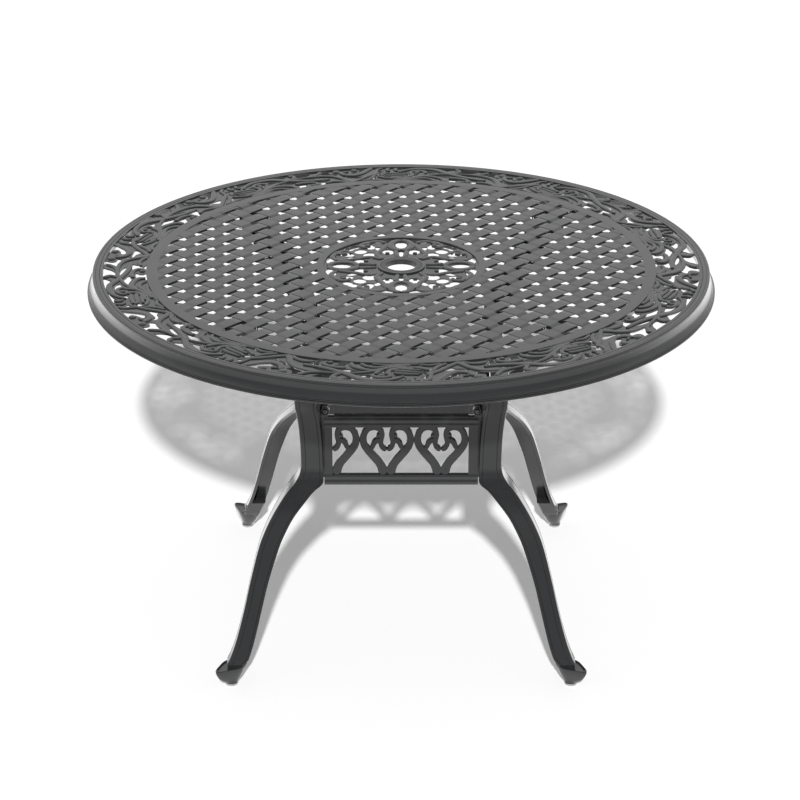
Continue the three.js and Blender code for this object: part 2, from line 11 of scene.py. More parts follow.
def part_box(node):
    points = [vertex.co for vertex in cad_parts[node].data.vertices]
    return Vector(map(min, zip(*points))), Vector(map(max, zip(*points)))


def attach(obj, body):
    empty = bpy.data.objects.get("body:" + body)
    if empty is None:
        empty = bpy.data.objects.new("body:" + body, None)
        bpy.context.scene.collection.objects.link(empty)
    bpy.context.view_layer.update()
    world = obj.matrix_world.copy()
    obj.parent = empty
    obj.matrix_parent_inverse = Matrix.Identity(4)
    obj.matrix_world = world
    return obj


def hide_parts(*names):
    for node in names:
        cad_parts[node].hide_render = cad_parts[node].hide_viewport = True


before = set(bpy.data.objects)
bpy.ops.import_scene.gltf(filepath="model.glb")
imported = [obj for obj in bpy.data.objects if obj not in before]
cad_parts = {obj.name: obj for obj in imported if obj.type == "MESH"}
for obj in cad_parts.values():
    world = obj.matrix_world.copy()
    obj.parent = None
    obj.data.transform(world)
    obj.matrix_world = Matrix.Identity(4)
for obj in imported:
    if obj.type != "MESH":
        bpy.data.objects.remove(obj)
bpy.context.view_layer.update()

millimetre = 0.001
scene = bpy.context.scene
print("frame loaded with", len(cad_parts), "nodes")

# Shader groups


def addNode(tree, kind, inputs=(), **settings):
    made = tree.nodes.new("ShaderNode" + kind)
    for key, value in settings.items():
        setattr(made, key, value)
    for key, value in dict(inputs).items():
        socket = made.inputs[key]
        if isinstance(value, bpy.types.NodeSocket):
            tree.links.new(value, socket)
        else:
            socket.default_value = value
    return made


def mathNode(tree, operation, *values, clamp=False):
    return addNode(tree, "Math", dict(enumerate(values)), operation=operation, use_clamp=clamp).outputs[0]


def rangeNode(tree, value, fromMin, fromMax, toMin=0, toMax=1):
    inputs = {"Value": value, "From Min": fromMin, "From Max": fromMax, "To Min": toMin, "To Max": toMax}
    return addNode(tree, "MapRange", inputs).outputs[0]


def noiseNode(tree, scale, detail, roughness=0.5):
    place = addNode(tree, "TexCoord").outputs["Object"]
    inputs = {"Vector": place, "Scale": scale, "Detail": detail, "Roughness": roughness}
    return addNode(tree, "TexNoise", inputs).outputs["Fac"]


def emptyTree(owner):
    owner.use_nodes = True
    owner.node_tree.nodes.clear()
    return owner.node_tree


def newGroup(name, inputs, outputs):
    group = bpy.data.node_groups.new(name, "ShaderNodeTree")
    for label, start in inputs.items():
        socket = group.interface.new_socket(name=label, in_out="INPUT", socket_type="NodeSocketFloat")
        socket.default_value = start
    for label in outputs:
        group.interface.new_socket(name=label, in_out="OUTPUT", socket_type="NodeSocketFloat")
    return group, group.nodes.new("NodeGroupInput").outputs, group.nodes.new("NodeGroupOutput").inputs


def castingGrainGroup():
    # orange peel of the powder over the soft ripple of a sand casting
    inputs = {"Peel Scale": 950, "Ripple Scale": 90, "Ripple Share": 0.5,
              "Gloss Middle": 0.4, "Gloss Spread": 0.1}
    group, given, result = newGroup("castingGrain", inputs, ("Height", "Roughness"))
    peel = noiseNode(group, given["Peel Scale"], detail=2, roughness=0.45)
    ripple = noiseNode(group, given["Ripple Scale"], detail=3)
    swell = mathNode(group, "MULTIPLY", ripple, given["Ripple Share"])
    group.links.new(mathNode(group, "ADD", peel, swell), result["Height"])
    centred = mathNode(group, "SUBTRACT", ripple, 0.5)
    gloss = mathNode(group, "MULTIPLY_ADD", centred, given["Gloss Spread"], given["Gloss Middle"])
    group.links.new(gloss, result["Roughness"])
    return group


def edgeWearAndHighlightGroup():
    # lighter colour on the sharpest edges, broken up by noise: partly thin powder worn there, partly a
    # painted highlight standing in for light caught by the edges
    inputs = {"Edge Start": 0.53, "Edge Full": 0.62, "Break Scale": 160, "Break Start": 0.3,
              "Break Full": 0.55, "Amount": 0.5}
    group, given, result = newGroup("edgeWear", inputs, ("Mask",))
    sharp = addNode(group, "NewGeometry").outputs["Pointiness"]
    edge = rangeNode(group, sharp, given["Edge Start"], given["Edge Full"])
    noise = noiseNode(group, given["Break Scale"], detail=4)
    broken = rangeNode(group, noise, given["Break Start"], given["Break Full"])
    both = mathNode(group, "MULTIPLY", edge, broken)
    group.links.new(mathNode(group, "MULTIPLY", both, given["Amount"], clamp=True), result["Mask"])
    return group


def dustGroup():
    # faint dust that settles on what faces up
    inputs = {"Patch Scale": 14, "Fleck Scale": 420, "Fleck Start": 0.12, "Fleck Full": 0.42,
              "Facing Start": 0.3, "Facing Full": 1, "Amount": 0.1}
    group, given, result = newGroup("settledDust", inputs, ("Mask",))
    up = addNode(group, "SeparateXYZ", {0: addNode(group, "NewGeometry").outputs["Normal"]}).outputs["Z"]
    facing = rangeNode(group, up, given["Facing Start"], given["Facing Full"])
    patch = noiseNode(group, given["Patch Scale"], detail=3)
    mixed = mathNode(group, "MULTIPLY", patch, noiseNode(group, given["Fleck Scale"], detail=2))
    spread = rangeNode(group, mixed, given["Fleck Start"], given["Fleck Full"])
    lying = mathNode(group, "MULTIPLY", spread, facing)
    group.links.new(mathNode(group, "MULTIPLY", lying, given["Amount"]), result["Mask"])
    return group


grainGroup = castingGrainGroup()
wearAndHighlightGroup = edgeWearAndHighlightGroup()
settledGroup = dustGroup()

# Materials

plainFinish = {
    "dust": (0.3, 0.3, 0.29, 1), "rippleShare": 0.5, "bump": 0.1, "bumpDepth": 0.0003, "dustAmount": 0.1,
    "dustDulls": 0.5, "metallic": 0, "specular": 0.5,
}
# what each finish has instead of the plain values, or beside them
finishes = {
    "charcoalPowderCoat": {
        # the lighter edge colour is partly edge wear, partly a painted highlight on the edges
        "colour": (0.017, 0.0175, 0.0185, 1), "worn": (0.06, 0.061, 0.063, 1), "gloss": 0.19,
        "glossSpread": 0.08, "peelScale": 1100, "rippleScale": 75, "bump": 0.05, "bumpDepth": 0.0004,
        "wear": 0.12, "dustAmount": 0.05,
    },
    "blackenedZinc": {
        "colour": (0.06, 0.06, 0.062, 1), "worn": (0.4, 0.4, 0.4, 1), "gloss": 0.3, "glossSpread": 0.25,
        "peelScale": 1600, "rippleScale": 300, "rippleShare": 0.4, "wear": 0.9, "dustAmount": 0.05,
        "metallic": 0.85,
    },
    "glideNylon": {
        "colour": (0.33, 0.33, 0.32, 1), "worn": (0.45, 0.45, 0.44, 1), "dust": (0.4, 0.39, 0.37, 1),
        "gloss": 0.5, "glossSpread": 0.15, "peelScale": 1400, "rippleScale": 220, "bump": 0.12,
        "bumpDepth": 0.0004, "wear": 0.6, "specular": 0.45,
    },
    "ringPlastic": {
        "colour": (0.022, 0.022, 0.023, 1), "worn": (0.06, 0.06, 0.06, 1), "gloss": 0.42,
        "glossSpread": 0.12, "peelScale": 1500, "rippleScale": 180, "rippleShare": 0.4, "wear": 0.4,
    },
}


def coatedMaterial(name, look):
    look = {**plainFinish, **look}
    material = bpy.data.materials.new(name)
    tree = emptyTree(material)
    grain = addNode(tree, "Group", {
        "Peel Scale": look["peelScale"], "Ripple Scale": look["rippleScale"],
        "Ripple Share": look["rippleShare"], "Gloss Middle": look["gloss"],
        "Gloss Spread": look["glossSpread"]}, node_tree=grainGroup).outputs
    wear = addNode(tree, "Group", {"Amount": look["wear"]}, node_tree=wearAndHighlightGroup).outputs["Mask"]
    dust = addNode(tree, "Group", {"Amount": look["dustAmount"]}, node_tree=settledGroup).outputs["Mask"]
    # lighter colour on the sharpest edges: partly edge wear, partly a painted highlight
    worn = addNode(tree, "MixRGB", {"Fac": wear, 1: look["colour"], 2: look["worn"]}).outputs[0]
    dusty = addNode(tree, "MixRGB", {"Fac": dust, 1: worn, 2: look["dust"]}).outputs[0]
    dull = mathNode(tree, "MULTIPLY_ADD", dust, look["dustDulls"], grain["Roughness"], clamp=True)
    bump = addNode(tree, "Bump", {
        "Strength": look["bump"], "Distance": look["bumpDepth"], "Height": grain["Height"]}).outputs[0]
    shader = addNode(tree, "BsdfPrincipled", {
        "Base Color": dusty, "Roughness": dull, "Normal": bump,
        "Metallic": look["metallic"], "Specular IOR Level": look["specular"]})
    addNode(tree, "OutputMaterial", {"Surface": shader.outputs[0]})
    material.diffuse_color = look["colour"]
    return material


charcoalCoat, zincFinish, glideNylon, ringPlastic = [coatedMaterial(*entry) for entry in finishes.items()]
print("materials ready")

# Mesh helpers, all in millimetres


def picked(parts, *keys):
    return [parts[key] for key in keys]


def newShape():
    return {"points": [], "faces": []}


def addTo(shape, points, faces, place=None):
    start = len(shape["points"])
    for point in points:
        shape["points"].append(tuple(float(c) for c in (place(*point) if place else point)))
    shape["faces"] += [[start + i for i in face] for face in faces]


def polar(radius, degrees):
    return radius * cos(radians(degrees)), radius * sin(radians(degrees))


def ringOutline(radius, count):
    return [polar(radius, 360 * i / count) for i in range(count)]


def turnedSpot(x, y, degrees):
    c, s = polar(1, degrees)
    return c * x - s * y, s * x + c * y


def movedShape(shape, move):
    return {"points": [move(*point) for point in shape["points"]], "faces": shape["faces"]}


def turnedAbout(shape, degrees):
    return movedShape(shape, lambda x, y, z: (*turnedSpot(x, y, degrees), z))


def addObject(name, data):
    made = bpy.data.objects.new(name, data)
    scene.collection.objects.link(made)
    return made


def makePiece(name, shape, nodes, smoothUnder=50, material=charcoalCoat):
    mesh = bpy.data.meshes.new(name)
    mesh.from_pydata([[c * millimetre for c in point] for point in shape["points"]], [], shape["faces"])
    work = bmesh.new()
    work.from_mesh(mesh)
    bmesh.ops.recalc_face_normals(work, faces=work.faces)
    work.to_mesh(mesh)
    work.free()
    mesh.shade_smooth()
    mesh.set_sharp_from_angle(angle=radians(smoothUnder))
    mesh.materials.append(material)
    piece = addObject(name, mesh)
    piece.modifiers.new("flatFacesStayFlat", "WEIGHTED_NORMAL").keep_sharp = True
    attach(piece, "root")
    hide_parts(*nodes)


def gridFaces(rows, columns, closedRows, closedColumns):
    faces = []
    for i in range(rows if closedRows else rows - 1):
        for j in range(columns if closedColumns else columns - 1):
            k, m = (i + 1) % rows, (j + 1) % columns
            faces.append([i * columns + j, i * columns + m, k * columns + m, k * columns + j])
    return faces


def tubeFaces(rows, columns):
    # the walls between rings of points, and a face over each end
    ends = [list(range(columns)), list(range((rows - 1) * columns, rows * columns))]
    return gridFaces(rows, columns, False, True) + ends


def addTurned(shape, profile, segments, closed=True, origin=(0, 0, 0), axis=(0, 0, 1)):
    # profile: [radius, along] or [radius, along, sides] for a ring with flats
    along = Vector(axis).normalized()
    across = along.orthogonal().normalized() if abs(along.z) < 0.9 else Vector((1, 0, 0))
    upward = along.cross(across)
    points = []
    for i in range(segments):
        angle = 2 * pi * i / segments
        outward = across * cos(angle) + upward * sin(angle)
        for radius, height, *sides in profile:
            if sides:
                part = 2 * pi / sides[0]
                radius *= cos(part / 2) / cos(angle % part - part / 2)
            points.append(Vector(origin) + along * height + outward * radius)
    faces = gridFaces(segments, len(profile), True, closed)
    if not closed:
        faces += [[i * len(profile) + end for i in range(segments)] for end in (0, len(profile) - 1)]
    addTo(shape, points, faces)


def addLoft(shape, sections, place=None):
    points = [point for section in sections for point in section]
    addTo(shape, points, tubeFaces(len(sections), len(sections[0])), place)


edgeParts = {"blockCornerShare": 0.7, "easedShare": 0.3}


def addBlock(shape, low, high, edge):
    # box with eased edges
    (x0, y0, z0), (x1, y1, z1) = low, high
    cut = edgeParts["blockCornerShare"] * edge
    sections = []
    for z, q in ((z0, edge), (z0 + edge, 0), (z1 - edge, 0), (z1, edge)):
        sections.append([
            (x0 + q + cut, y0 + q, z), (x1 - q - cut, y0 + q, z), (x1 - q, y0 + q + cut, z),
            (x1 - q, y1 - q - cut, z), (x1 - q - cut, y1 - q, z), (x0 + q + cut, y1 - q, z),
            (x0 + q, y1 - q - cut, z), (x0 + q, y0 + q + cut, z)])
    addLoft(shape, sections)


def easedTop(left, right, level, edge, rightEdge=None):
    # upper side of a section, with both of its corners eased
    other = edge if rightEdge is None else rightEdge
    near, far = edgeParts["easedShare"] * edge, edgeParts["easedShare"] * other
    return [(left, level - edge), (left + near, level - near), (left + edge, level),
            (right - other, level), (right - far, level - far), (right, level - other)]


pathSteps = 10


def finePath(points, closed=False):
    # smooth curve through the points, with the length reached at each of its samples
    given = np.array(points, float)
    if closed:
        ends = np.vstack([given[-1], given, given[0], given[1]])
    else:
        ends = np.vstack([2 * given[0] - given[1], given, 2 * given[-1] - given[-2]])
    samples = []
    for a, b, c, d in zip(ends[:-3], ends[1:-2], ends[2:-1], ends[3:]):
        for t in np.linspace(0, 1, pathSteps, endpoint=False):
            samples.append(0.5 * (2 * b + (c - a) * t + (2 * a - 5 * b + 4 * c - d) * t * t
                                  + (3 * b - a - 3 * c + d) * t ** 3))
    samples.append(ends[-2])
    samples = np.array(samples)
    steps = np.linalg.norm(np.diff(samples, axis=0), axis=1)
    return samples, np.concatenate([[0], np.cumsum(steps)])


def pathAt(path, at):
    samples, reached = path
    return np.column_stack([np.interp(at, reached, samples[:, k]) for k in (0, 1)])


def smoothLoop(points, spacing):
    path = finePath(points, closed=True)
    total = path[1][-1]
    even = np.linspace(0, total, max(6, int(round(total / spacing))), endpoint=False)
    return [tuple(spot) for spot in pathAt(path, even)]


strokeParts = {
    "endTurns": (0, 25, 50, 70), "endClear": 0.8, "lookAhead": 0.6, "thinnest": 0.08, "edgeLimit": 0.7,
}


def addStroke(shape, points, widths, form, place=None):
    # raised bead along a curve: round ends, eased edges and a low crown
    path = finePath(points)
    total = path[1][-1]
    startHalf, endHalf = widths[0] / 2, widths[-1] / 2
    turns = [1 - cos(radians(a)) for a in strokeParts["endTurns"]]
    first, last = strokeParts["endClear"] * startHalf, total - strokeParts["endClear"] * endHalf
    even = np.linspace(0, total, max(3, int(total / form["spacing"])))
    at = np.array([startHalf * turn for turn in turns] + [s for s in even if first < s < last]
                  + [total - endHalf * turn for turn in reversed(turns)])
    reach = min(strokeParts["lookAhead"], total / 8)
    heading = pathAt(path, np.minimum(at + reach, total)) - pathAt(path, np.maximum(at - reach, 0))
    heading /= np.maximum(np.linalg.norm(heading, axis=1, keepdims=True), 1e-9)
    sides = np.column_stack([-heading[:, 1], heading[:, 0]])
    halves = np.interp(at / total, np.linspace(0, 1, len(widths)), widths) / 2
    bottom, top = form["bottom"], form["top"]
    sections = []
    for s, spot, side, half in zip(at, pathAt(path, at), sides, halves):
        end = min(s, total - s)
        if end < half:
            half = sqrt(max(half ** 2 - (half - end) ** 2, (strokeParts["thinnest"] * half) ** 2))
        upper = easedTop(-half, half, top, min(form["edge"], strokeParts["edgeLimit"] * half))
        foot = form["foot"] * half
        section = [(-foot, bottom), *upper[:3], (0, top + form["crown"]), *upper[3:], (foot, bottom)]
        sections.append([(*(spot + side * across), depth) for across, depth in section])
    addLoft(shape, sections, place)


# shares of the radius against height over the top, in shares of the radius and then of the rise
ballParts = {"sideShares": [(1, -0.35), (0.92, -0.1)], "domeShares": [(0.72, 0.1), (0.4, 0.75), (0.08, 1)]}


def addBall(shape, centre, radius, form, segments=14):
    # low boss with a domed top
    profile = [(radius, form["bottom"])]
    for shares, rise in (("sideShares", radius), ("domeShares", form["ballRise"])):
        profile += [(share * radius, form["top"] + part * rise) for share, part in ballParts[shares]]
    addTurned(shape, profile, segments, closed=False, origin=(*centre, 0))


def takenOut(work):
    # the points and faces of a bmesh, which is then let go
    work.verts.index_update()
    result = [tuple(v.co) for v in work.verts], [[v.index for v in f.verts] for f in work.faces]
    work.free()
    return result


plateParts = {"weld": 0.01, "sharpFrom": 1.2, "edgeSteps": 2, "edgeRoundness": 0.6}


def addPlate(shape, outlines, bottom, top, edge, place=None):
    # plate with eased edges inside the first outline, pierced by all the others
    spots, loops = [], []
    for outline in outlines:
        loops.append(list(range(len(spots), len(spots) + len(outline))))
        spots += [Vector(point) for point in outline]
    corners, _, faces, _, _, sources = delaunay_2d_cdt(spots, [], loops, 1, plateParts["weld"])
    work = bmesh.new()
    made = [work.verts.new((spot.x, spot.y, top)) for spot in corners]
    for face, source in zip(faces, sources):
        if list(source) == [0]:
            work.faces.new([made[i] for i in face])
    bmesh.ops.delete(work, geom=[v for v in work.verts if not v.link_faces], context="VERTS")
    lower = bmesh.ops.extrude_face_region(work, geom=work.faces[:])
    lower = [part for part in lower["geom"] if isinstance(part, bmesh.types.BMVert)]
    bmesh.ops.translate(work, verts=lower, vec=(0, 0, bottom - top))
    bmesh.ops.recalc_face_normals(work, faces=work.faces)
    rims = [e for e in work.edges if e.calc_face_angle(0) > plateParts["sharpFrom"]
            and abs(e.verts[0].co.z - e.verts[1].co.z) < edge]
    bmesh.ops.bevel(work, geom=rims, offset=edge, segments=plateParts["edgeSteps"],
                    profile=plateParts["edgeRoundness"], affect="EDGES", clamp_overlap=True)
    addTo(shape, *takenOut(work), place)


table = {
    "top": 732, "plateBottom": 726, "grilleRadius": 584.3, "borderOuter": 578, "borderInner": 495,
    "latticeRadius": 473, "medallionOuter": 165, "medallionInner": 151, "ringSegments": 192,
}

# Rim casting

rimParts = {
    # radius, drop below the top: flat band, quirk, upright skirt, cove, bead, lip, then back inside
    "profile": [
        (595, 0), (596.6, 0.15), (597.9, 0.8), (598.7, 1.9), (598.95, 3.2), (598.6, 4.4), (597.6, 5.2),
        (597, 5.6), (596.4, 6.2), (596.05, 8.4), (595.95, 11), (596.1, 14), (596.6, 17.5), (597.6, 21),
        (599.2, 24.6), (601.2, 27.6), (603.2, 29.8), (604.6, 31), (604.9, 31.6), (604.7, 32.1),
        (605.6, 32.2), (606.6, 32.7), (606.9, 33.4), (606.6, 34), (606.2, 34.3), (607.4, 34.2),
        (608.7, 34.6), (609.4, 35.4), (609.5, 36.4), (609.2, 37.3), (608.4, 37.9), (607.4, 38),
        (604.2, 37.9), (603, 37), (596.5, 30), (590.65, 16), (590.65, 11.3), (577.6, 11.3), (577.6, 6.3),
        (584.6, 6.3), (584.6, 1.1), (584.9, 0.35), (585.6, 0), (591.6, 0), (592, 0.3), (592.3, 0.8),
        (592.6, 0.3), (593, 0)],
    "smoothUnder": 42,
}


def rimCasting():
    shape = newShape()
    profile = [(radius, table["top"] - drop) for radius, drop in rimParts["profile"]]
    addTurned(shape, profile, table["ringSegments"])
    makePiece("rimCasting", shape, ["top_rim"], rimParts["smoothUnder"])


rimCasting()
print("rim done")

# Bands, collar, ribs and pads of the top

bandParts = {
    "edge": 0.7, "seamEdge": 0.8, "ribDepth": 8, "ribInset": 3, "ribEase": 1.2,
    "collarOuter": 46.3, "collarRecess": 40.3, "collarBore": 35.8, "collarDepth": 12, "recessDepth": 3.3,
    "padMiddle": 298, "padSize": 60, "padDepth": 10, "padOverrun": 0.8, "padEdge": 1,
    "medallionSegments": 96, "collarSegments": 72,
}


def bandProfile(inner, outer, outerEdge=bandParts["edge"], withRib=True):
    bottom = table["plateBottom"]
    upper = easedTop(inner, outer, table["top"], bandParts["edge"], outerEdge)
    profile = [(inner, bottom), *upper, (outer, bottom)]
    if withRib:
        left, right = inner + bandParts["ribInset"], outer - bandParts["ribInset"]
        low, ease = bottom - bandParts["ribDepth"], bandParts["ribEase"]
        profile += [(right, bottom), (right, low + ease), (right - ease, low), (left + ease, low),
                    (left, low + ease), (left, bottom)]
    return profile


def topBands():
    shape = newShape()
    edge, count = bandParts["edge"], table["ringSegments"]
    seam = bandProfile(table["borderOuter"], table["grilleRadius"], bandParts["seamEdge"], withRib=False)
    addTurned(shape, seam, count)
    addTurned(shape, bandProfile(table["latticeRadius"], table["borderInner"]), count)
    inner, outer = table["medallionInner"], table["medallionOuter"]
    addTurned(shape, bandProfile(inner, outer), bandParts["medallionSegments"])
    top, bottom = table["top"], table["top"] - bandParts["collarDepth"]
    recess = top - bandParts["recessDepth"]
    outer, inner, bore = picked(bandParts, "collarOuter", "collarRecess", "collarBore")
    collar = [(bore, bottom), (bore, recess), (inner, recess), (inner, top - 0.5), (inner + 0.2, top - 0.15),
              (inner + 0.6, top), *easedTop(inner, outer, top, edge)[3:], (outer, bottom + 1),
              (outer - 1, bottom)]
    addTurned(shape, collar, bandParts["collarSegments"])
    middle, size, depth, overrun = picked(bandParts, "padMiddle", "padSize", "padDepth", "padOverrun")
    half, low, high = size / 2, table["plateBottom"] - depth, table["plateBottom"] + overrun
    for x in (-middle, middle):
        for y in (-middle, middle):
            addBlock(shape, (x - half, y - half, low), (x + half, y + half, high), bandParts["padEdge"])
    makePiece("topBandsAndCollar", shape, ["top_grille"])


topBands()
print("bands done")

# Woven lattice

latticeParts = {
    "pitch": 39.9, "stripWidth": 26.2, "turn": 48.25, "level": 731.8, "edge": 0.55, "tuck": 6.5, "lip": 1.5,
    "undersideSlope": 6.5, "bendSteps": 7, "outerCut": 484, "innerCut": 158,
    # how far the two families of strips sink towards their ends
    "sinks": (0.6, 2.1),
}


def stripShape(length, sink):
    # one raised length of a strip, from under one neighbour to under the next
    half, edge, steps = latticeParts["stripWidth"] / 2, latticeParts["edge"], latticeParts["bendSteps"]
    reach, bottom = length / 2, table["plateBottom"]
    stations = [-reach - latticeParts["tuck"], -reach]
    stations += list(np.linspace(-reach, -half, steps)[1:]) + list(np.linspace(half, reach, steps)[:-1])
    stations += [reach, reach + latticeParts["tuck"]]
    lip, foot = latticeParts["lip"], half - latticeParts["undersideSlope"]
    sections = []
    for s in stations:
        share = min(1, max(0, (abs(s) - half) / (reach - half)))
        level = latticeParts["level"] - sink * (1 - cos(pi * share)) / 2
        section = [(-foot, bottom), (-half, level - lip), *easedTop(-half, half, level, edge),
                   (half, level - lip), (foot, bottom)]
        sections.append([(s, t, z) for t, z in section])
    strip = newShape()
    addLoft(strip, sections)
    return strip


def cutBody(points, faces, spot, outward):
    # keeps what lies behind the plane through spot, and closes the cut
    work = bmesh.new()
    made = [work.verts.new(point) for point in points]
    for face in faces:
        work.faces.new([made[i] for i in face])
    parts = work.verts[:] + work.edges[:] + work.faces[:]
    cut = bmesh.ops.bisect_plane(work, geom=parts, plane_co=spot, plane_no=outward, clear_outer=True)
    rim = [e for e in cut["geom_cut"] if isinstance(e, bmesh.types.BMEdge)]
    if rim:
        bmesh.ops.holes_fill(work, edges=rim, sides=0)
    return takenOut(work)


def wovenLattice():
    shape = newShape()
    pitch, turn, outerCut, innerCut = picked(latticeParts, "pitch", "turn", "outerCut", "innerCut")
    length = 2 * pitch - latticeParts["stripWidth"]
    families = [turnedAbout(stripShape(length, sink), turn + 90 * family)
                for family, sink in enumerate(latticeParts["sinks"])]
    reach = int(outerCut / pitch) + 2
    for i in range(-reach, reach + 1):
        for j in range(-reach, reach + 1):
            cx, cy = turnedSpot(pitch * i, pitch * j, turn)
            strip = families[(i + j) % 2]
            placed = [(cx + x, cy + y, z) for x, y, z in strip["points"]]
            distances = [hypot(x, y) for x, y, _ in placed]
            near, far = min(distances), max(distances)
            if near > table["latticeRadius"] or far < table["medallionOuter"]:
                continue
            body = (placed, strip["faces"])
            outward = Vector((cx, cy, 0)).normalized()
            if far > outerCut:
                body = cutBody(*body, outward * outerCut, outward)
            if near < innerCut:
                body = cutBody(*body, outward * innerCut, -outward)
            if body[0]:
                addTo(shape, *body)
    makePiece("wovenLattice", shape, ["top_grille"])


wovenLattice()
print("lattice done")

# Scroll border

borderParts = {
    "repeats": 10, "start": 172.36, "spacing": 3.2, "gapGrowth": 1.12, "overrun": 1.5, "segments": 240,
    # foot, top and edge of the plate under the strokes
    "base": (727, 729.2, 0.6),
    # where one repeat lies on the drawing sheet: left end, foot, length and height
    "sheetLeft": 650, "sheetFoot": 290, "sheetLength": 626, "sheetHeight": 205,
    "form": {"bottom": 726.8, "top": 731.4, "edge": 1.5, "crown": 0.45, "ballRise": 0.6, "spacing": 3.6,
             "foot": 0.5},
    "gaps": [
        [(578, 85), (660, 85), (640, 94), (626, 106), (626, 120), (640, 134), (660, 144), (658, 156),
         (642, 167), (632, 166), (616, 142), (600, 118), (584, 94)],
        [(626, 204), (680, 202), (688, 186), (700, 186), (696, 200), (684, 212), (664, 218), (650, 232),
        (640, 228)], [(734, 85), (764, 85), (762, 106), (776, 130), (796, 142), (812, 147), (776, 152),
        (752, 156), (736, 165), (726, 160), (718, 142), (736, 136), (744, 122), (740, 102)], [(810, 85),
        (888, 85), (874, 98), (866, 118), (870, 138), (856, 140), (840, 136), (824, 122), (816, 106)],
        [(912, 88), (1002, 88), (976, 100), (952, 114), (932, 126), (922, 114), (914, 106)], [(800, 190),
        (816, 178), (840, 170), (868, 168), (848, 180), (824, 189), (808, 193)], [(888, 208), (908, 194),
        (928, 183), (944, 188), (966, 195), (944, 206), (920, 217), (904, 212)], [(962, 156), (972, 142),
        (988, 134), (1014, 129), (1002, 142), (996, 156), (994, 165), (976, 160)], [(770, 226),
        (816, 228), (808, 238), (802, 258), (804, 276), (816, 288), (772, 288), (792, 276), (790, 268),
        (778, 254), (772, 238)], [(870, 244), (900, 244), (896, 258), (902, 274), (928, 288), (868, 288),
        (874, 274), (870, 258), (860, 250)], [(1036, 90), (1116, 90), (1108, 102), (1100, 112),
        (1088, 104), (1060, 96)], [(1160, 146), (1180, 130), (1184, 150), (1190, 170), (1182, 194),
        (1172, 204), (1160, 192), (1170, 184), (1176, 166), (1170, 152)], [(1026, 233), (1060, 246),
        (1098, 260), (1094, 265), (1064, 258), (1036, 246)], [(1034, 184), (1048, 184), (1050, 212),
        (1040, 212)], [(1074, 152), (1096, 164), (1084, 168), (1074, 166)], [(1198, 222), (1210, 222),
        (1210, 244), (1200, 244)], [(668, 287), (680, 279), (704, 282), (706, 288)], [(984, 284),
        (996, 276), (1008, 282)], [(1156, 280), (1168, 270), (1180, 278)], ],
    # curve on the sheet, then widths along it in millimetres
    "strokes": [
        ([(672, 288), (690, 255), (708, 215), (735, 178), (775, 158), (830, 152), (880, 158), (925, 168),
          (965, 182), (1005, 205), (1040, 235)], [13, 11, 9, 7, 7, 8, 8]),
        ([(755, 212), (800, 210), (845, 198), (890, 175), (930, 145), (965, 112), (1005, 100), (1045, 104),
          (1080, 125), (1105, 155)], [8, 10, 11, 13, 12, 10, 6]),
        ([(577, 82), (600, 122), (625, 160), (655, 180), (685, 168), (698, 142), (700, 120)],
        [10, 12, 12, 11, 9]), ([(555, 160), (600, 205), (640, 250), (680, 285)], [9, 9, 9]), ([(690, 285),
        (715, 262), (750, 250), (785, 262)], [9, 9, 8]), ([(770, 95), (780, 115), (800, 140), (840, 155)],
        [9, 9, 8]), ([(895, 90), (878, 110), (885, 140), (900, 155)], [9, 9, 8]), ([(905, 225),
        (870, 222), (835, 232), (818, 255), (828, 278)], [9, 9, 8]), ([(915, 285), (925, 250), (955, 225),
        (1000, 212), (1040, 235), (1080, 262), (1130, 275)], [9, 9, 9]), ([(950, 285), (975, 255),
        (1010, 245), (1050, 262), (1100, 280)], [8, 8, 8]), ([(990, 285), (1040, 278), (1100, 285),
        (1160, 285)], [7, 8, 7]), ([(1003, 170), (1005, 148), (1025, 133), (1050, 140), (1062, 160),
        (1050, 178), (1030, 170)], [9, 9, 8, 7]), ([(1010, 170), (1018, 200), (1035, 232), (1070, 250),
        (1120, 252)], [9, 9, 8]), ([(1060, 170), (1052, 200), (1065, 225), (1100, 240), (1140, 235)],
        [9, 9, 8]), ([(1070, 190), (1100, 180), (1130, 175), (1158, 170)], [8, 8, 6]), ([(1070, 215),
        (1110, 205), (1150, 195), (1165, 180)], [8, 8, 6]), ([(1090, 235), (1130, 225), (1165, 215)],
        [8, 8, 6]), ([(1110, 95), (1120, 115), (1110, 140)], [8, 8, 7]), ([(1140, 92), (1150, 115),
        (1140, 140)], [8, 8, 7]), ([(1165, 92), (1185, 110), (1190, 140), (1195, 170), (1200, 200)],
        [8, 8, 8]), ([(1120, 255), (1160, 240), (1190, 215)], [8, 8, 7]), ([(1200, 200), (1215, 235),
        (1235, 262), (1260, 280)], [8, 9, 8]), ([(1160, 285), (1200, 270), (1240, 285)], [7, 8, 7]),
        ([(690, 135), (678, 128), (668, 125)], [6, 5]), ],
    # spot on the sheet and radius in millimetres
    "balls": [((645, 108), 7.5), ((713, 110), 9), ((885, 105), 5.6), ((840, 272), 5.6), ((1035, 155), 5.5)],
}


def onBorder(x, y):
    share = (x - borderParts["sheetLeft"]) / borderParts["sheetLength"]
    rise = (borderParts["sheetFoot"] - y) / borderParts["sheetHeight"]
    radius = table["borderInner"] + (table["borderOuter"] - table["borderInner"]) * rise
    return polar(radius, borderParts["start"] + share * 360 / borderParts["repeats"])


def grownLoop(points, growth):
    middle = np.mean(points, axis=0)
    return [tuple(middle + growth * (np.array(point) - middle)) for point in points]


def piercedRing(name, parts, radii, strokes, gaps):
    # the same strokes and gaps turned round the middle, with a plate under the strokes
    shape = newShape()
    outlines = [ringOutline(radius, segments) for radius, segments in radii]
    for k in range(parts["repeats"]):
        turn = 360 * k / parts["repeats"]
        outlines += [[turnedSpot(x, y, turn) for x, y in gap] for gap in gaps]
        addTo(shape, **turnedAbout(strokes, turn))
    addPlate(shape, outlines, *parts["base"])
    makePiece(name, shape, ["top_grille"])


